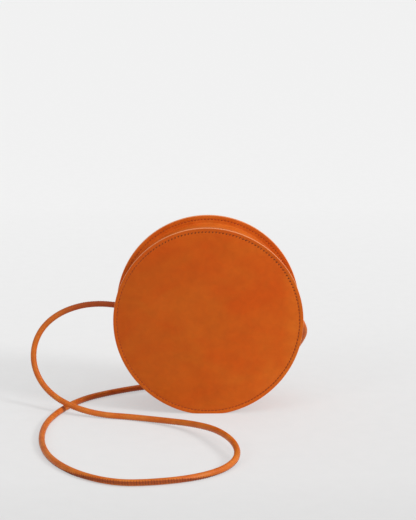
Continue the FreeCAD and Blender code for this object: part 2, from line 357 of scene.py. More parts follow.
def stitches(places, length, width, rise, slant, pale=0.0):
    """Separate stitches, each a thread that arches out of one hole and into the next. Length, slant and pale,
    the share of the thread's paler tone, are one number or a list with one for each stitch."""
    out = Build()
    sides, steps = 7, np.linspace(-1, 1, 7)
    turn = turns(sides)[:, None]
    lengths, slants, pales = (np.broadcast_to(numbers, len(places)) for numbers in (length, slant, pale))
    for index, (centre, along, normal) in enumerate(places):
        tilt = slants[index] * (1 + 0.25 * math.sin(index * 2.3))
        size = 1 + 0.06 * math.sin(index * 1.7)
        run = along * math.cos(tilt) + np.cross(normal, along) * math.sin(tilt)
        wide = np.cross(normal, run)
        rings = []
        for u in steps:
            lift = rise * (1 - u * u) - 0.45 * width * u ** 4
            radius = 0.5 * width * (1 - 0.25 * abs(u) ** 3)
            middle = centre + run * (u * 0.5 * lengths[index] * size) + normal * lift
            rings.append(middle + radius * (np.cos(turn) * wide + 0.85 * np.sin(turn) * normal))
        lay = np.zeros((len(steps) * sides, 3))
        lay[:, 0] = np.repeat(steps * lengths[index] / 2, sides)
        pale_here = np.full(len(lay), pales[index])
        out.add(np.concatenate(rings), capped_faces(len(steps), sides), lay=lay, pale=pale_here)
    return out


# Materials

class Surface:
    """A material with short ways to add its nodes. A value is a number, a tuple or another node's output."""

    def __init__(self, name):
        self.material = bpy.data.materials.new(name)
        self.material.use_nodes = True
        self.nodes = self.material.node_tree.nodes
        self.shader = self.nodes["Principled BSDF"]
        self.place = self.add("TexCoord").outputs["Object"]

    def put(self, socket, value):
        if isinstance(value, bpy.types.NodeSocket):
            self.material.node_tree.links.new(value, socket)
        else:
            socket.default_value = value

    def add(self, kind, **inputs):
        node = self.nodes.new("ShaderNode" + kind)
        for key, value in inputs.items():
            self.put(node.inputs[key], value)
        return node

    def noise(self, where, scale, detail, rough=0.55, bent=0.0):
        grain = {"Scale": scale, "Detail": detail, "Roughness": rough, "Distortion": bent}
        return self.add("TexNoise", Vector=where, **grain).outputs["Fac"]

    def wave(self, where, scale, distortion):
        return self.add("TexWave", Vector=where, Scale=scale, Distortion=distortion).outputs["Fac"]

    def mapping(self, where, **changes):
        return self.add("Mapping", Vector=where, **changes).outputs["Vector"]

    def axis(self, letter):
        return self.add("SeparateXYZ", Vector=self.place).outputs[letter]

    def ramp(self, factor, stops):
        """Colours between stops, which are each a place and a colour."""
        node = self.add("ValToRGB", Fac=factor)
        while len(node.color_ramp.elements) < len(stops):
            node.color_ramp.elements.new(0.5)
        for element, (place, colour) in zip(node.color_ramp.elements, stops):
            element.position = place
            element.color = (*colour, 1)
        return node.outputs["Color"]

    def span(self, value, from_low, from_high, to_low=0.0, to_high=1.0):
        """A value carried over from one range to another."""
        limits = {"From Min": from_low, "From Max": from_high, "To Min": to_low, "To Max": to_high}
        return self.add("MapRange", Value=value, **limits).outputs["Result"]

    def mix(self, factor, first, second, blend="MIX"):
        node = self.add("Mix")
        node.data_type = "RGBA"
        node.blend_type = blend
        for key, value in (("Factor", factor), ("A", first), ("B", second)):
            self.put(node.inputs[key], (*value, 1) if isinstance(value, tuple) else value)
        return node.outputs["Result"]

    def tinted(self, colour, tone, amount=1.0):
        return self.mix(amount, colour, tone, "MULTIPLY")

    def point_value(self, key, output="Fac"):
        node = self.add("Attribute")
        node.attribute_name = key
        return node.outputs[output]

    def combine(self, operation, *values):
        node = self.add("Math")
        node.operation = operation
        for socket, value in zip(node.inputs, values):
            self.put(socket, value)
        return node.outputs["Value"]

    def bump(self, height, strength, distance, **below):
        node = self.add("Bump", Height=height, Strength=strength, Distance=distance, **below)
        return node.outputs["Normal"]

    def dress(self, **looks):
        """Sets the shader's inputs, with _ for the spaces in their names."""
        for key, value in looks.items():
            self.put(self.shader.inputs[key.replace("_", " ")], value)
        return self.material


def srgb(*levels):
    """A colour from screen levels, which are all above 10 of 255."""
    return tuple(((level / 255 + 0.055) / 1.055) ** 2.4 for level in levels)


def darker(colour, share):
    return tuple(share * c for c in colour)


WHITE = (1.0, 1.0, 1.0)
RAW_EDGE = srgb(244, 160, 108)
FLESH = srgb(196, 128, 78)

# How the front and back panels change in colour across the bag: along X a painted shade, darker to the left,
# and a painted sheen at the right edge; along Z deeper and more saturated upwards. Axis, its two ends in
# metres and the stops
PANEL_TONE_AND_PAINTED_LIGHT = (
    ("X", -0.085, 0.085, [(0.0, (0.86, 0.92, 0.90)), (0.5, (0.92, 0.92, 0.88)),
                          (0.93, (0.985, 0.985, 0.965)), (1.0, (1.04, 1.26, 1.60))]),
    ("Z", 0.01, 0.19, [(0.0, WHITE), (0.72, (0.92, 0.84, 0.70)), (1.0, (0.99, 0.88, 0.71))]),
)


def leather(name, tones, edge=RAW_EDGE, patch=16.0, gloss=(0.44, 0.60), specular=0.22,
            drift=(), painted_shadow=None):
    """Smooth vegetable-tanned leather: mottled dye, fine grain and pores, pale raw edges and a suede inside.
    Tones are the screen levels of its deep, middle and light dye, and patch is the scale of the mottling.
    A drift is how the colour changes across the hide, with painted shade and sheen included. The last colour,
    if given, is a painted shadow that the points mix in by their own share."""
    deep, middle, light = (srgb(*tone) for tone in tones)
    look = Surface(name)
    mottle = look.noise(look.place, patch, 4.0, 0.58, 0.8)
    colour = look.ramp(mottle, [(0.34, deep), (0.50, middle), (0.66, light)])
    stretched = look.mapping(look.place, Location=(0.7, 0.3, 0.5), Scale=(0.6, 1.0, 1.0))
    tint = look.noise(stretched, patch * 1.5, 5.0, 0.62, 0.8)
    colour = look.tinted(colour, look.ramp(tint, [(0.36, (1.0, 0.77, 0.54)), (0.64, WHITE)]))
    # The drift's colour across the hide, with painted shade and sheen in it
    for letter, first, last, stops in drift:
        colour = look.tinted(colour, look.ramp(look.span(look.axis(letter), first, last), stops))
    fleck = look.noise(look.place, patch * 9, 6.0, 0.62, 0.3)
    colour = look.tinted(colour, look.ramp(fleck, [(0.30, (0.86, 0.83, 0.80)), (0.70, WHITE)]), 0.75)
    pulled = look.mapping(look.place, Scale=(0.35, 1.0, 1.0), Rotation=(0.0, 0.35, 0.0))
    streak = look.noise(pulled, 120.0, 3.0, 0.5, 0.4)
    colour = look.mix(look.span(streak, 0.60, 0.78, 0.0, 0.16), colour, light)
    colour = look.mix(look.span(look.point_value("seam"), 0.0, 1.0, 0.0, 0.42), colour, deep)
    # A painted shadow: the strap darkened where the bag shades it
    if painted_shadow:
        colour = look.mix(look.span(look.point_value("painted_shadow"), 0.0, 1.0, 0.0, 0.85), colour, painted_shadow)
    fibre = look.noise(look.place, 900.0, 4.0, 0.7)
    inner = look.point_value("inner")
    colour = look.mix(inner, colour, look.ramp(fibre, [(0.30, darker(FLESH, 0.72)), (0.70, FLESH)]))
    raw = look.ramp(fibre, [(0.25, darker(edge, 0.80)), (0.65, edge)])
    colour = look.mix(look.point_value("edge"), colour, raw)
    rough = look.span(fleck, 0.3, 0.7, *gloss)
    pores = look.add("TexVoronoi", Vector=look.place, Scale=1150.0).outputs["Distance"]
    normal = look.bump(pores, 0.18, 0.00012)
    normal = look.bump(fibre, 0.22, 0.00012, Normal=normal)
    normal = look.bump(streak, 0.10, 0.0005, Normal=normal)
    return look.dress(Base_Color=colour, Roughness=look.combine("MULTIPLY_ADD", inner, 0.32, rough),
                      Specular_IOR_Level=specular, Normal=normal)


def thread(name, *tones):
    """Waxed twisted thread. Tones are the screen levels of its dark, light and paler tone."""
    dark, light, pale = (srgb(*tone) for tone in tones)
    look = Surface(name)
    twist = look.wave(look.point_value("lay", "Vector"), 900.0, 1.5)
    worn = look.noise(look.place, 260.0, 3.0)
    colour = look.ramp(worn, [(0.3, dark), (0.7, light)])
    colour = look.mix(look.span(twist, 0.0, 1.0, 0.0, 0.35), colour, dark)
    colour = look.mix(look.point_value("pale"), colour, pale)
    return look.dress(Base_Color=colour, Roughness=look.span(worn, 0.3, 0.7, 0.5, 0.75),
                      Specular_IOR_Level=0.25, Normal=look.bump(twist, 0.4, 0.0001))


def woven_tape(name, dark, light):
    """Herringbone zip tape, woven along the zip."""
    look = Surface(name)
    lay = look.point_value("lay", "Vector")
    ribs = [look.wave(look.mapping(lay, Rotation=(0, 0, turn)), 420.0, 0.4) for turn in (0.7, -0.7)]
    weave = look.combine("MAXIMUM", *ribs)
    worn = look.noise(look.place, 300.0, 4.0)
    colour = look.ramp(weave, [(0.2, dark), (0.9, light)])
    colour = look.mix(look.span(worn, 0.35, 0.75, 0.0, 0.4), colour, dark)
    return look.dress(Base_Color=colour, Roughness=look.span(worn, 0.3, 0.7, 0.75, 0.95),
                      Specular_IOR_Level=0.2, Sheen_Weight=0.15, Normal=look.bump(weave, 0.6, 0.00015))


def brass(name, bright, dull):
    """Satin brass with fine rubbing and a duller tone in patches."""
    look = Surface(name)
    colour = look.ramp(look.noise(look.place, 220.0, 5.0, 0.6), [(0.35, dull), (0.65, bright)])
    rubbed = look.noise(look.mapping(look.place, Scale=(1.0, 8.0, 1.0)), 900.0, 3.0)
    return look.dress(Base_Color=colour, Metallic=1.0, Roughness=look.span(rubbed, 0.3, 0.7, 0.22, 0.42),
                      Normal=look.bump(rubbed, 0.12, 0.00005))


panel_leather = leather("panel_leather", ((209, 100, 20), (215, 103, 22), (219, 106, 25)),
                        specular=0.14, drift=PANEL_TONE_AND_PAINTED_LIGHT)
gusset_leather = leather("gusset_leather", ((209, 103, 23), (218, 111, 30), (224, 121, 42)), specular=0.14)
strap_leather = leather("strap_leather", ((197, 101, 20), (210, 113, 28), (218, 124, 41)),
                        edge=srgb(162, 72, 24), patch=40.0, gloss=(0.40, 0.55), specular=0.3,
                        painted_shadow=srgb(168, 66, 14))
tab_leather = leather("tab_leather", ((182, 68, 14), (200, 82, 22), (210, 98, 34)), patch=60.0)
patch_leather = leather("patch_leather", ((168, 96, 52), (180, 108, 62), (190, 122, 76)), patch=60.0)
seam_thread = thread("seam_thread", (106, 43, 13), (132, 56, 17), (180, 76, 21))
strap_thread = thread("strap_thread", (120, 50, 16), (150, 68, 24), (150, 68, 24))
zip_tape = woven_tape("zip_tape", srgb(96, 38, 16), srgb(140, 62, 28))
zip_metal = brass("zip_metal", (0.80, 0.58, 0.26), (0.62, 0.42, 0.17))


def place_piece(piece, body=None, replaces=(), folds=False):
    """Puts a piece on its body, or across the fold of the front, and hides the imported parts that it stands
    for.
    """
    if folds:
        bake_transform(piece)
    else:
        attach(piece, body)
    if replaces:
        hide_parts(*replaces)
    return piece


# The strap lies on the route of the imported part, with four points by its right end moved up to 2 mm
ROUTE = [
    (-0.0795, 0.0, 0.1024), (-0.0935, 0.0, 0.1047), (-0.1115, 0.0, 0.1063),
    (-0.1315, 0.001, 0.1038), (-0.152, 0.002, 0.0957), (-0.1685, 0.002, 0.0822),
    (-0.178, 0.0, 0.0643), (-0.179, -0.006, 0.0451), (-0.1715, -0.01, 0.026),
    (-0.156, -0.0235, 0.0142), (-0.1345, -0.0385, 0.0078), (-0.1075, -0.048, 0.0034),
    (-0.0775, -0.0535, 0.003), (-0.047, -0.0675, 0.0042), (-0.0155, -0.089, 0.0078),
    (0.0075, -0.1155, 0.0108), (0.0235, -0.151, 0.0108), (0.0265, -0.178, 0.0062),
    (0.014, -0.2025, 0.0034), (-0.0125, -0.223, 0.003), (-0.0485, -0.234, 0.003),
    (-0.0835, -0.2355, 0.003), (-0.1185, -0.2135, 0.003), (-0.1455, -0.176, 0.003),
    (-0.1595, -0.1305, 0.003), (-0.1615, -0.0775, 0.003), (-0.151, -0.034, 0.003),
    (-0.131, 0.005, 0.003), (-0.101, 0.027, 0.0038), (-0.062, 0.047, 0.0042),
    (-0.032, 0.052, 0.0034), (0.006, 0.061, 0.003), (0.042, 0.061, 0.0062),
    (0.07, 0.054, 0.0196), (0.0869, 0.0432, 0.0398), (0.0949, 0.0291, 0.0552),
    (0.1005, 0.0152, 0.0711), (0.0974, 0.0044, 0.0827), (0.0897, 0.0005, 0.0954),
    (0.0798, 0.0, 0.1034),
]
STRAP_ENDS = {"left": (np.array(ROUTE[0]), np.array(ROUTE[1])),
              "right": (np.array(ROUTE[-1]), np.array(ROUTE[-2]))}


def spline_points(route):
    """Points close together on the spline that has the route's points as its control points."""
    line = bpy.data.curves.new("strap_line", "CURVE")
    line.dimensions = "3D"
    spline = line.splines.new("NURBS")
    spline.points.add(len(route) - 1)
    for point, where in zip(spline.points, route):
        point.co = (*where, 1)
    spline.order_u = 3
    spline.use_endpoint_u = True
    spline.resolution_u = 14
    line_object = bpy.data.objects.new("strap_line", line)
    scene.collection.objects.link(line_object)
    line_mesh = bpy.data.meshes.new_from_object(line_object)
    points = np.array([v.co for v in line_mesh.vertices])
    bpy.data.objects.remove(line_object)
    bpy.data.meshes.remove(line_mesh)
    return points


strap_path = spline_points(ROUTE)
strap_run = np.concatenate([[0], np.cumsum(np.linalg.norm(np.diff(strap_path, axis=0), axis=1))])
STRAP_LENGTH = float(strap_run[-1])
strap_along = unit(np.gradient(strap_path, axis=0))

# The seam faces forwards at the front of the loop, rolls a quarter turn beside it and back near the right end
SEAM_ROLL = 1.6
SEAM_BACK = 2.75
loop_front = int(np.argmin(strap_path[:, 1]))
seam_start = np.array([0.0, -0.98, 0.2])
seam_before = carried(strap_along[loop_front::-1], seam_start)[::-1]
seam_after = carried(strap_along[loop_front:], seam_start)[1:]
even_seam = np.concatenate([seam_before, seam_after])
even_side = np.cross(strap_along, even_seam)
from_front = np.abs(strap_run - strap_run[loop_front])
roll = SEAM_ROLL * smooth(0.025, 0.10, from_front) - SEAM_BACK * smooth(0.95, 1.08, strap_run)
roll = roll[:, None]
strap_seam = np.cos(roll) * even_seam - np.sin(roll) * even_side
strap_side = np.cos(roll) * even_side + np.sin(roll) * even_seam


def strap_section():
    """A strip of leather rolled round a core, its two raw edges sewn together: millimetres towards the seam
    and across, and how raw the leather is."""
    points = []
    for turn in np.radians(range(52, 309, 16)):
        points.append((2.95 * math.cos(turn) - 0.05, 2.95 * math.sin(turn), 0.0))
    edge = [(2.30, 1.76, 0.0), (2.64, 1.40, 0.25), (2.80, 1.13, 1.0), (2.82, 0.48, 1.0), (2.78, 0.20, 0.9)]
    points += [(out, -across, raw) for out, across, raw in edge]
    return np.array(points + [(2.50, 0.0, 0.3)] + edge[::-1])


def make_strap():
    """The strap, with the bag's shadow painted by its left end and, behind the bag, on its lower side."""
    section = strap_section()
    towards, across = section[:, 0:1] * strap_seam[:, None], section[:, 1:2] * strap_side[:, None]
    verts = strap_path[:, None] + MM * (towards + across)
    upward = (verts[:, :, 2] - strap_path[:, None, 2]) / (STRAP_DIAMETER / 2)
    # Painted shadow of the bag: the stretch by the left end, and the lower side of the stretch behind the bag
    by_left_end = 1 - smooth(0.035, 0.095, strap_run)
    behind = 0.75 * within((0.80, 0.87), (1.00, 1.08), strap_run)
    painted_shadow = by_left_end[:, None] + behind[:, None] * (1 - smooth(0.3, 0.9, upward))
    values = {"edge": np.tile(section[:, 2], len(strap_path)), "painted_shadow": painted_shadow.ravel()}
    faces = capped_faces(len(strap_path), len(section))
    return outward(make_piece("strap_leather", verts.reshape(-1, 3), faces, strap_leather, values))


def strap_at(distance):
    """The strap's place, heading, seam direction and side direction at a distance along it."""
    tracks = strap_path, strap_along, strap_seam, strap_side
    return [np.array([np.interp(distance, strap_run, column) for column in track.T]) for track in tracks]


def overcast():
    """The strap's seam: threads that cross its two raw edges, one after the other."""
    pitch, clear_end, sides = 0.0025, 0.010, 7
    half = [(2.12, 1.98), (2.40, 1.72), (2.74, 1.40), (2.88, 1.05)]
    over = np.array([(out, -across) for out, across in half] + [(2.90, 0.0)] + half[::-1])
    towards, across = over[:, 0:1], over[:, 1:2]
    out = Build()
    for index, distance in enumerate(np.arange(clear_end, STRAP_LENGTH - clear_end, pitch)):
        where, along, seam, side = strap_at(distance + 0.0002 * math.sin(index * 1.9))
        lean = across * (0.12 + 0.05 * math.sin(index * 2.7))
        verts, faces = tube(where + MM * (towards * seam + across * side + lean * along), 0.00022, sides)
        lay = np.zeros((len(verts), 3))
        lay[:-2, 0] = np.repeat(over[:, 1] * MM, sides)
        lay[-2:, 0] = over[[0, -1], 1] * MM
        out.add(verts, faces, lay=lay)
    return out


def knot(name, end, inwards):
    """An overhand knot in the strap's end, with its short tail."""
    thick, sides = 0.0023, 14
    turn = turns(120)
    up = np.cross(inwards, ACROSS)
    middle = end + inwards * 0.0042
    loop = middle + MM * (1.30 * (np.sin(turn) + 2 * np.sin(2 * turn))[:, None] * ACROSS
                          + 1.30 * (np.cos(turn) - 2 * np.cos(2 * turn))[:, None] * up
                          - 2.1 * np.sin(3 * turn)[:, None] * inwards)
    share = np.linspace(0, 1, 12)[:, None]
    tail = middle + inwards * 0.010 * share - np.array([0.0, 0.0, 0.007]) * share ** 2
    lead = middle + (end - middle) * np.linspace(0, 1.15, 6)[:, None]
    closed = np.concatenate([loop, loop[:1]])
    out = Build()
    for line, radius, cut in ((closed, thick, 0.0), (tail, thick, 1.0), (lead, 0.0027, 0.0)):
        verts, faces = tube(line, radius, sides)
        out.add(verts, faces, edge=np.append(np.zeros(len(verts) - 1), cut))
    return out.piece(name, strap_leather)


strap = place_piece(make_strap(), "shell", ["strap"])
strap_stitching = place_piece(overcast().piece("strap_stitching", strap_thread), "shell")
for name, (end, beyond) in STRAP_ENDS.items():
    piece = knot("knot_" + name, end, unit(end - beyond))
    place_piece(piece, "shell", ["strap_knot_" + name])


# The two discs

def dome(radius):
    """How far a disc bulges at that radius."""
    return DOME * np.clip(1 - (np.asarray(radius, float) / DOME_EDGE) ** 3, 0, None)


def disc(name, side):
    """A domed disc with a groove for its seam, in front for side -1 and at the back for side 1."""
    count = 420
    radii = np.concatenate([np.arange(0, 72, 4.0), np.arange(72, 88, 1.6), np.arange(88.0, 94.7, 0.4),
                            [95.0, 95.3, 95.55]])
    groove = 0.36 * bell(radii - SEAM, 0.8)
    edge = RIM_RADIUS - 0.22, RIM_RADIUS - 0.07, RIM_RADIUS
    outer = [(r, PANEL_FACE + d - g, 0.0) for r, d, g in zip(radii, dome(radii), groove)]
    outer += zip(edge, (PANEL_FACE - 0.07, PANEL_FACE - 0.24, PANEL_FACE - 0.5), (0.35, 1.0, 1.0))
    inner = [(r, PANEL_BACK + d, 0.0) for r, d in zip(radii, dome(radii))]
    inner += zip(edge, (PANEL_BACK + 0.07, PANEL_BACK + 0.25, PANEL_BACK + 0.55), (0.5, 1.0, 1.0))
    profile = np.array(outer[1:] + inner[:0:-1])
    inside = np.repeat([0.0, 1.0], len(profile) // 2)
    seam = bell(profile[:, 0] - SEAM, 1.1) * (1 - inside)
    angles = turns(count)[:, None]
    verts = on_ring(profile[:, 0] * MM, angles, side * profile[:, 1] * MM).reshape(-1, 3)
    faces = grid_faces(count, len(profile), wrap_rows=True)
    for i in range(count):
        n = (i + 1) % count
        faces.append((len(verts), i * len(profile), n * len(profile)))
        faces.append((len(verts) + 1, (n + 1) * len(profile) - 1, (i + 1) * len(profile) - 1))
    poles = [on_ring(0.0, 0.0, side * face[0][1] * MM) for face in (outer, inner)]
    verts = np.concatenate([verts, poles])
    x, h = verts[:, 0], verts[:, 2] - CENTRE
    dents = np.sin(64 * x + 0.7 * side) * np.sin(57 * h + 1.4) + 0.7 * np.sin(38 * x - 49 * h + 2.2 * side)
    verts[:, 1] += side * DENT * dents * (1 - smooth(0.062, 0.084, np.hypot(x, h)))
    values = {"edge": np.append(np.tile(profile[:, 2], count), [0, 0]),
              "seam": np.append(np.tile(seam, count), [0, 0]),
              "inner": np.append(np.tile(inside * (profile[:, 0] < RAW_FROM), count), [0, 1])}
    return outward(make_piece(name, settle(verts), faces, panel_leather, values))


place_piece(disc("front_panel", -1),
            replaces=["front_panel_lower", "front_panel_upper"], folds=True)
place_piece(disc("back_leather", 1), "shell", ["back_panel"])


# The gusset: a floor between two flanges turned outwards, in a lower piece and two strips along the zip

def flange_section():
    """From the flange's raw tip to the floor's corner: (radius, depth) in the channel, then in the bag."""
    tip = RIM_RADIUS, RIM_RADIUS - 0.07, RIM_RADIUS - 0.25, RIM_RADIUS - 0.8, RIM_RADIUS - 1.2
    outer = list(zip(tip, (FLANGE_OUTSIDE + rounding for rounding in (0.45, 0.20, 0.02, 0.0, 0.0))))
    inner = list(zip(tip, (FLANGE_INSIDE - rounding for rounding in (0.45, 0.19, 0.02, 0.0, 0.0))))
    for r in np.arange(94.4, 89.0, -0.35):
        outer.append((r, FLANGE_OUTSIDE + 0.26 * bell(r - SEAM, 0.7)))
        inner.append((r, FLANGE_INSIDE))
    for turn in np.radians(range(90, 181, 15)):
        across, deep = math.cos(turn), math.sin(turn)
        outer.append((BEND_RADIUS + BEND_OUTSIDE * across, BEND_DEPTH + BEND_OUTSIDE * deep))
        inner.append((BEND_RADIUS + BEND_INSIDE * across, BEND_DEPTH + BEND_INSIDE * deep))
    return outer, inner


def flipped(section):
    return [(r, -y) for r, y in section]


def sweep(name, outer, inner, first, last, count, lift=None):
    """A closed strip of leather along the ring. First and last give its end angles at a radius, and a lift
    moves its points outwards."""
    loop = np.array(outer + inner[::-1])
    radii, depths = loop[:, 0], loop[:, 1] * MM
    begin, end = first(radii * MM), last(radii * MM)
    angles = begin + (end - begin) * np.linspace(0, 1, count)[:, None]
    raised = lift(angles, depths) if lift else 0.0
    verts = on_ring(radii * MM + raised, angles, depths).reshape(-1, 3)
    faces = grid_faces(count, len(loop), wrap_columns=True) + end_faces(0, len(loop))
    faces += [face[::-1] for face in end_faces((count - 1) * len(loop), len(loop))]
    raw = np.where(radii > RIM_RADIUS - 0.1, 1.0, np.where(radii > RAW_FROM, 0.4, 0.0))
    inside = np.repeat([0.0, 1.0], len(outer)) * (radii < RAW_FROM)
    values = {"edge": raw, "inner": inside, "seam": bell(radii - SEAM, 1.1)}
    values = {key: np.tile(numbers, count) for key, numbers in values.items()}
    return outward(make_piece(name, settle(verts), faces, gusset_leather, values))


# Half the gap between the lower piece and the strips, in metres
JOINT_GAP = 0.0001


def right_end(height):
    """Gives the angle at which a radius reaches that height on the right."""
    return lambda radius: np.arcsin(height / radius)


def left_end(height):
    return lambda radius: math.pi - np.arcsin(height / radius)


def overlap(angles, depth):
    """The lower piece laps over the ends of the strips."""
    height = np.sin(angles) * FLOOR_OUTSIDE * MM
    lap = smooth(MOUTH - 0.0095, MOUTH - 0.0075, height)
    return 0.00150 * lap * (1 - smooth(0.0255, 0.0292, np.abs(depth)))


def lower_gusset():
    outer, inner = flange_section()
    rows = np.arange(27, 0, -3.0)
    outer += [(FLOOR_OUTSIDE, y) for y in rows]
    inner += [(FLOOR_INSIDE, y) for y in rows]
    low_end = right_end(MOUTH - JOINT_GAP)
    return sweep("gusset_leather", flipped(outer) + outer[::-1], flipped(inner) + inner[::-1],
                 left_end(MOUTH - JOINT_GAP), lambda radius: FULL_TURN + low_end(radius), 300, overlap)


def zip_strip(name, sign):
    outer, inner = flange_section()
    rows = [*np.arange(27, 6, -3.0), 5.4, 5.0]
    outer += [(FLOOR_OUTSIDE, y) for y in rows] + [(86.93, 4.75), (86.75, 4.58), (86.5, 4.5)]
    inner += [(FLOOR_INSIDE, y) for y in rows] + [(85.62, 4.75), (85.80, 4.58), (86.05, 4.5)]
    if sign < 0:
        outer, inner = flipped(outer), flipped(inner)
    return sweep(name, outer, inner, right_end(MOUTH + JOINT_GAP), left_end(MOUTH + JOINT_GAP), 220)


def punch(piece, end, beyond):
    """Cuts the strap's round hole through the gusset."""
    direction = unit(beyond - end)
    verts, faces = tube([end + direction * step for step in (-0.004, 0.006, 0.015)], 0.0035, 40)
    cutter = outward(make_piece("cutter", verts, faces, strap_leather))
    modifier = piece.modifiers.new("hole", "BOOLEAN")
    modifier.operation = "DIFFERENCE"
    modifier.solver = "EXACT"
    modifier.object = cutter
    bpy.context.view_layer.update()
    cut = bpy.data.meshes.new_from_object(piece.evaluated_get(bpy.context.evaluated_depsgraph_get()))
    piece.modifiers.clear()
    piece.data = cut
    bpy.data.objects.remove(cutter)


gusset = lower_gusset()
for end, beyond in STRAP_ENDS.values():
    punch(gusset, end, beyond)
place_piece(gusset, "shell", ["lower_gusset"])
for name, sign, nodes in (
    ("strip_front_leather", -1, ["zip_strip_front", "zip_strip_front_ends"]),
    ("strip_back_leather", 1, ["zip_strip_back"]),
):
    place_piece(zip_strip(name, sign), "shell", nodes, folds=sign < 0)


# Seams: separate stitches on both faces of each rim, along the zip and across the lapped joints

FINE_STITCH = {"length": 0.0023, "width": 0.0007, "rise": 0.0002, "slant": 0.12}
FINE_PITCH = 0.0031


def rim_stitches(side):
    """On a disc's face the stitches stand steep over the top and lie flat elsewhere. Their tone is painted
    light and shade: dark over the top where the light from above shows them, pale elsewhere and palest on the
    left, away from the light. On its flange they are alike all round."""
    count = 167
    places, lengths, slants, pale = [], [], [], []
    for angle in turns(count) + math.pi / count:
        # Painted light and shade on the face stitches: darkest over the top, palest on the left
        steep = within((0.15, 0.5), (1.9, 2.4), angle)
        left = within((2.2, 2.9), (5.0, 5.5), angle)
        lengths += [0.0031 - 0.0006 * steep, 0.0027]
        slants += [0.10 + 0.80 * steep, 0.16]
        pale += [(1 - steep) * (0.45 + 0.35 * left), 1.0]
        for depth, facing in ((PANEL_FACE - 0.38, side), (FLANGE_OUTSIDE + 0.22, -side)):
            where = settle([on_ring(SEAM * MM, angle, side * depth * MM)])[0]
            places.append((where, ring_ahead(angle), facing * ACROSS))
    return stitches(places, lengths, 0.0009, 0.00028, slants, pale)


def zip_stitches(sign):
    radius, depth = 0.08702, 0.00735
    first = math.asin((MOUTH + 0.002) / (FLOOR_OUTSIDE * MM))
    places = []
    for angle in np.arange(first, math.pi - first, FINE_PITCH / (FLOOR_OUTSIDE * MM)):
        where = settle([on_ring(radius, angle, sign * depth)])[0]
        places.append((where, ring_ahead(angle), ring_out(angle)))
    return stitches(places, **FINE_STITCH)


def joint_stitches():
    radius, lap_radius, half_width = 0.08852, 0.0885, 0.0235
    joint = math.asin((MOUTH - 0.003) / lap_radius)
    places = []
    for angle in (joint, math.pi - joint):
        for depth in np.arange(-half_width, half_width, FINE_PITCH):
            places.append((settle([on_ring(radius, angle, depth)])[0], ACROSS, ring_out(angle)))
    return stitches(places, **FINE_STITCH)


for name, sew, side, nodes in (
    ("seam_front", rim_stitches, -1, ["front_seam_thread_lower", "front_seam_thread_upper"]),
    ("seam_back", rim_stitches, 1, ["back_seam_thread"]),
    ("seam_zip_front", zip_stitches, -1, ["zip_thread_front", "zip_thread_front_ends"]),
    ("seam_zip_back", zip_stitches, 1, ["zip_thread_back"]),
):
    place_piece(sew(side).piece(name, seam_thread), "shell", nodes, folds=side < 0)
place_piece(joint_stitches().piece("seam_joints", seam_thread), "shell")


# Patches inside, round the strap's holes

def patch(name, end, beyond):
    """A washer of leather bent to the gusset, where the strap's line meets it."""
    radius, count = 0.0845, 72
    direction = unit(beyond - end)
    flat = np.array([end[0], end[2] - CENTRE])
    slope = np.array([direction[0], direction[2]])
    towards = flat @ slope
    step = -towards + math.sqrt(towards ** 2 - (slope @ slope) * (flat @ flat - radius ** 2))
    hit = flat + slope * step
    middle = math.atan2(hit[1], hit[0])
    section = np.array([(3.9, 85.0, 1), (4.1, 85.15, 0), (8.0, 85.2, 0), (12.6, 85.2, 0), (12.9, 85.0, 0.5),
                        (13.0, 84.6, 1), (12.9, 84.0, 0.5), (12.6, 83.75, 0), (8.0, 83.7, 0), (4.1, 83.75, 0),
                        (3.9, 83.95, 1)])
    from_hole, level = section[:, 0] * MM, section[:, 1] * MM
    turn = turns(count)[:, None]
    verts = on_ring(level, middle + from_hole * np.sin(turn) / radius, end[1] + from_hole * np.cos(turn))
    faces = grid_faces(count, len(section), wrap_rows=True, wrap_columns=True)
    values = {"edge": np.tile(section[:, 2], count), "inner": np.full(count * len(section), 0.6)}
    return outward(make_piece(name, settle(verts.reshape(-1, 3)), faces, patch_leather, values))


for name, (end, beyond) in STRAP_ENDS.items():
    place_piece(patch("patch_" + name, end, beyond), "shell", ["anchor_patch_" + name])


# The zip: tapes, teeth and stops

TEETH = 88
TOOTH_STEP = (math.pi - 2 * FIRST_TOOTH) / TEETH


def tape(name, sign):
    """A tape with a corded edge along the teeth."""
    count = 240
    top, bottom, depths = 85.2, 84.6, [2.0, 2.5, 3.0, 6.0, 9.0, 12.0]
    cord = [0.0, 0.1, 0.0, 0.0, 0.0, 0.0]
    radii = np.array([top + c for c in cord] + [bottom - c for c in reversed(cord)])
    depths = np.array(depths + depths[::-1])
    begin = np.arcsin((MOUTH + 0.0003) / (radii * MM))
    angles = begin + (math.pi - 2 * begin) * np.linspace(0, 1, count)[:, None]
    verts = on_ring(radii * MM, angles, sign * depths * MM).reshape(-1, 3)
    faces = grid_faces(count, len(radii), wrap_columns=True)
    for start in (0, (count - 1) * len(radii)):
        faces += end_faces(start, len(radii))
    lay = np.stack([(angles * 0.085).ravel(), np.tile(depths * MM, count), np.zeros(angles.size)], 1)
    return outward(make_piece(name, verts, faces, zip_tape, {"lay": lay}))


def tooth_chain(name, sign):
    """Teeth clamped on the tape's edge, each with a head. The two rows stand half a step apart."""
    clamp = (-0.52, -0.42, 84.05), (0.52, 2.75, 85.75), 0.30
    head = (-0.50, -0.45, 84.45), (0.50, 0.55, 85.35), 0.0
    out = Build()
    for i in range(TEETH):
        angle = FIRST_TOOTH + (i + (0.25 if sign < 0 else 0.75)) * TOOTH_STEP
        for low, high, pinch in (clamp, head):
            verts, faces = rounded(low, high, pinch)
            verts[:, 1] *= sign
            out.add(along_ring(verts, angle), faces)
    return weld(out.piece(name, zip_metal))


def stop(name, angle, depth_low, depth_high):
    out = Build()
    verts, faces = rounded((-1.0, depth_low, 83.9), (1.0, depth_high, 85.9), 0.25)
    out.add(along_ring(verts, angle), faces)
    return weld(out.piece(name, zip_metal))


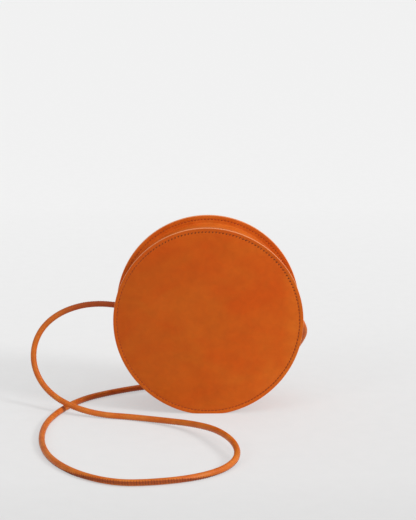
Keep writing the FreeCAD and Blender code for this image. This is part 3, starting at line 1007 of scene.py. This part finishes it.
for name, sign in (("front", -1), ("back", 1)):
    place_piece(tape("tape_" + name, sign), "shell", ["zip_tape_" + name], folds=sign < 0)
    place_piece(tooth_chain("chain_" + name, sign), "shell", ["zip_teeth_" + name],
                folds=sign < 0)
for name, angle, depth_low, depth_high, node in (
    ("stop_top_front", math.pi - STOP_ANGLE, -2.9, -0.35, "zip_top_stop_front"),
    ("stop_top_back", math.pi - STOP_ANGLE, 0.35, 2.9, "zip_top_stop_back"),
    ("stop_bottom", STOP_ANGLE, -2.7, 2.7, "zip_bottom_stop"),
):
    place_piece(stop(name, angle, depth_low, depth_high), "shell", [node])


# The slider and its pull, in millimetres

pin = on_ring(PIN, SLIDER_ANGLE, 0.0)
pull_along = ring_out(PULL_ANGLE)
pull_up = np.cross(pull_along, ACROSS)
TAB_END = 17.0


def on_slider(points):
    return along_ring(points, SLIDER_ANGLE)


def on_pull(points):
    """Points (along the pull from its pin, across, out of its face) where the pull rests."""
    p = np.asarray(points, float)
    return pin + p[:, 0:1] * pull_along + p[:, 1:2] * ACROSS + p[:, 2:3] * pull_up


def arc(centre, radius, start, end, count):
    """Points (a, b) on an arc."""
    turn = np.linspace(start, end, count)
    return np.array(centre) + radius * np.column_stack([np.cos(turn), np.sin(turn)])


def slider():
    """Two plates with side rails, the web between the tooth rows and a lug for the pull."""
    side = [(-4.75, 2.7), (-1.5, 3.0), (1.5, 3.75), (4.2, 3.75), (4.75, 1.6)]
    body = rounded_outline([(a, -b) for a, b in side] + [(4.1, 0.0)] + side[::-1], 1.0)
    rail = [(-4.6, 2.6), (-1.5, 2.6), (1.5, 2.9), (4.1, 2.9),
            (4.1, 3.7), (1.5, 3.7), (-1.5, 2.95), (-4.6, 2.65)]
    lug_foot = [(-1.5, 86.9), (1.5, 86.9)]
    lug = np.concatenate([arc((0.0, PIN / MM), 1.28, -0.35, math.pi + 0.35, 22), lug_foot])
    out = Build()
    for low, high in ((86.3, 87.1), (82.7, 83.5)):
        out.add_plate(on_slider, body, low, high, 0.25)
    for sign in (-1, 1):
        outline = rounded_outline([(a, sign * b) for a, b in rail], 0.4)
        for low, high in ((85.65, 86.5), (83.3, 84.15)):
            out.add_plate(on_slider, outline, low, high, 0.12)
    out.add_plate(on_slider, rounded_outline(bar(1.2, 4.7, 0.35), 0.3), 83.2, 86.6, 0.1)
    out.add_plate(on_slider, lug, -0.6, 0.6, 0.2, upright=True)
    return weld(out.piece("slider_body", zip_metal))


def pull():
    """A pin between two arms, the neck they end in and the tongue inside the leather tab."""
    eye = arc((0.0, 0.0), 1.0, math.radians(50), math.radians(310), 18)
    arm = np.concatenate([eye, [(4.4, -0.45), (4.4, 0.45)]])
    out = Build()
    verts, faces = tube(np.outer(np.linspace(-1.75, 1.75, 9), ACROSS) * MM, 0.00055, 20)
    out.add(on_pull(verts), faces)
    for low, high in ((-1.7, -0.9), (0.9, 1.7)):
        out.add_plate(on_pull, arm, low, high, 0.16, upright=True)
    out.add_plate(on_pull, rounded_outline(bar(3.6, 8.2, 1.7), 0.6), -0.45, 0.45, 0.18)
    out.add_plate(on_pull, rounded_outline(bar(7.8, 11.8, 1.25), 0.4), -0.42, 0.42, 0.15)
    return weld(out.piece("pull_metal", zip_metal))


def pull_tab():
    """Two layers of leather with a round end."""
    neck = [(8.2, 2.6), (8.2, -2.6), (8.8, -3.0)]
    outline = np.concatenate([neck, arc((TAB_END, 0.0), 3.0, -math.pi / 2, math.pi / 2, 24), [(8.8, 3.0)]])
    out = Build()
    for low, high in ((-1.1, -0.02), (0.02, 1.1)):
        verts, faces = plate(outline, low, high, 0.22)
        raw = (np.abs(verts[:, 2] - (low + high) / 2) < 0.40) * 1.0
        raw[-2:] = 0
        out.add(on_pull(verts * MM), faces, edge=raw)
    return weld(out.piece("pull_tab", tab_leather))


def tab_stitches():
    """Stitches on both faces of the tab, round its edge."""
    inset, pitch, face = 2.2, 1.55, 1.08
    line = np.concatenate([[(a, -inset) for a in np.arange(9.2, TAB_END, pitch)],
                           arc((TAB_END, 0.0), inset, -math.pi / 2 + 0.35, math.pi / 2 - 0.35, 5),
                           [(a, inset) for a in np.arange(TAB_END - 0.1, 9.1, -pitch)]])
    places = []
    for (a, b), (ahead, across) in zip(line, unit(np.gradient(line, axis=0))):
        for sign in (-1, 1):
            where = on_pull([[a * MM, b * MM, sign * face * MM]])[0]
            places.append((where, ahead * pull_along + across * ACROSS, sign * pull_up))
    return stitches(places, 0.0012, 0.0004, 0.00012, 0.1)


place_piece(slider(), "zip_slider", ["zip_slider"])
place_piece(pull(), "zip_pull", ["zip_pull"])
place_piece(pull_tab(), "zip_pull", ["zip_pull_leather"])
place_piece(tab_stitches().piece("pull_stitching", seam_thread), "zip_pull")


# Floor, light and world

FLOOR_HALF = 60.0
FLOOR_LEVEL = -0.0001

# How pale the floor is from the front to the back, a painted shading that darkens it towards the front: the
# share of the way and the screen level
FLOOR_NEAR, FLOOR_FAR = -0.35, 1.15
FLOOR_TONES = ((0.0, 222), (0.056, 226), (0.09, 229), (0.233, 231), (0.367, 235), (0.947, 240), (1.0, 241))


def floor_material():
    """Pale paper: it takes the object's shadow, lifted where it is seen directly or in a reflection."""
    look = Surface("floor_paper")
    tones = [(share, srgb(level, level, level)) for share, level in FLOOR_TONES]
    # Painted shading: the floor darker towards the front
    colour = look.ramp(look.span(look.axis("Y"), FLOOR_NEAR, FLOOR_FAR), tones)
    grain = look.noise(look.place, 60.0, 4.0)
    colour = look.tinted(colour, look.ramp(grain, [(0.3, (0.985, 0.985, 0.985)), (0.7, WHITE)]))
    look.dress(Base_Color=colour, Roughness=0.9, Specular_IOR_Level=0.1)
    glow = look.add("Emission", Color=colour, Strength=1.06)
    ray = look.add("LightPath").outputs
    seen = look.combine("MAXIMUM", ray["Is Camera Ray"], ray["Is Glossy Ray"])
    seen = look.combine("MAXIMUM", seen, ray["Is Transmission Ray"])
    both = look.add("MixShader", Fac=look.span(seen, 0.0, 1.0, 0.0, 0.55))
    look.put(both.inputs[1], look.shader.outputs["BSDF"])
    look.put(both.inputs[2], glow.outputs["Emission"])
    look.put(look.nodes["Material Output"].inputs["Surface"], both.outputs["Shader"])
    return look.material


steps = np.linspace(-FLOOR_HALF, FLOOR_HALF, 9)
floor_verts = [(x, y, FLOOR_LEVEL) for x in steps for y in steps]
floor_faces = [face[::-1] for face in grid_faces(len(steps), len(steps))]
floor = make_piece("floor", floor_verts, floor_faces, floor_material())

world = bpy.data.worlds.new("world")
world.use_nodes = True
background = world.node_tree.nodes["Background"]
background.inputs["Color"].default_value = (*WHITE, 1.0)
background.inputs["Strength"].default_value = 0.42
scene.world = world

# Lights: name, energy, width in degrees and the way the light goes
for name, energy, width, towards in (
    ("key", 1.4, 14, (-0.75, 0.433, -0.50)),
    ("fill", 0.32, 18, (0.61, 0.61, -0.50)),
    ("overhead", 0.95, 80, (-0.42, 0.15, -0.89)),
):
    light_data = bpy.data.lights.new(name, "SUN")
    light_data.energy = energy
    light_data.angle = math.radians(width)
    light = bpy.data.objects.new(name, light_data)
    light.rotation_euler = Vector(towards).to_track_quat("-Z", "Y").to_euler()
    scene.collection.objects.link(light)
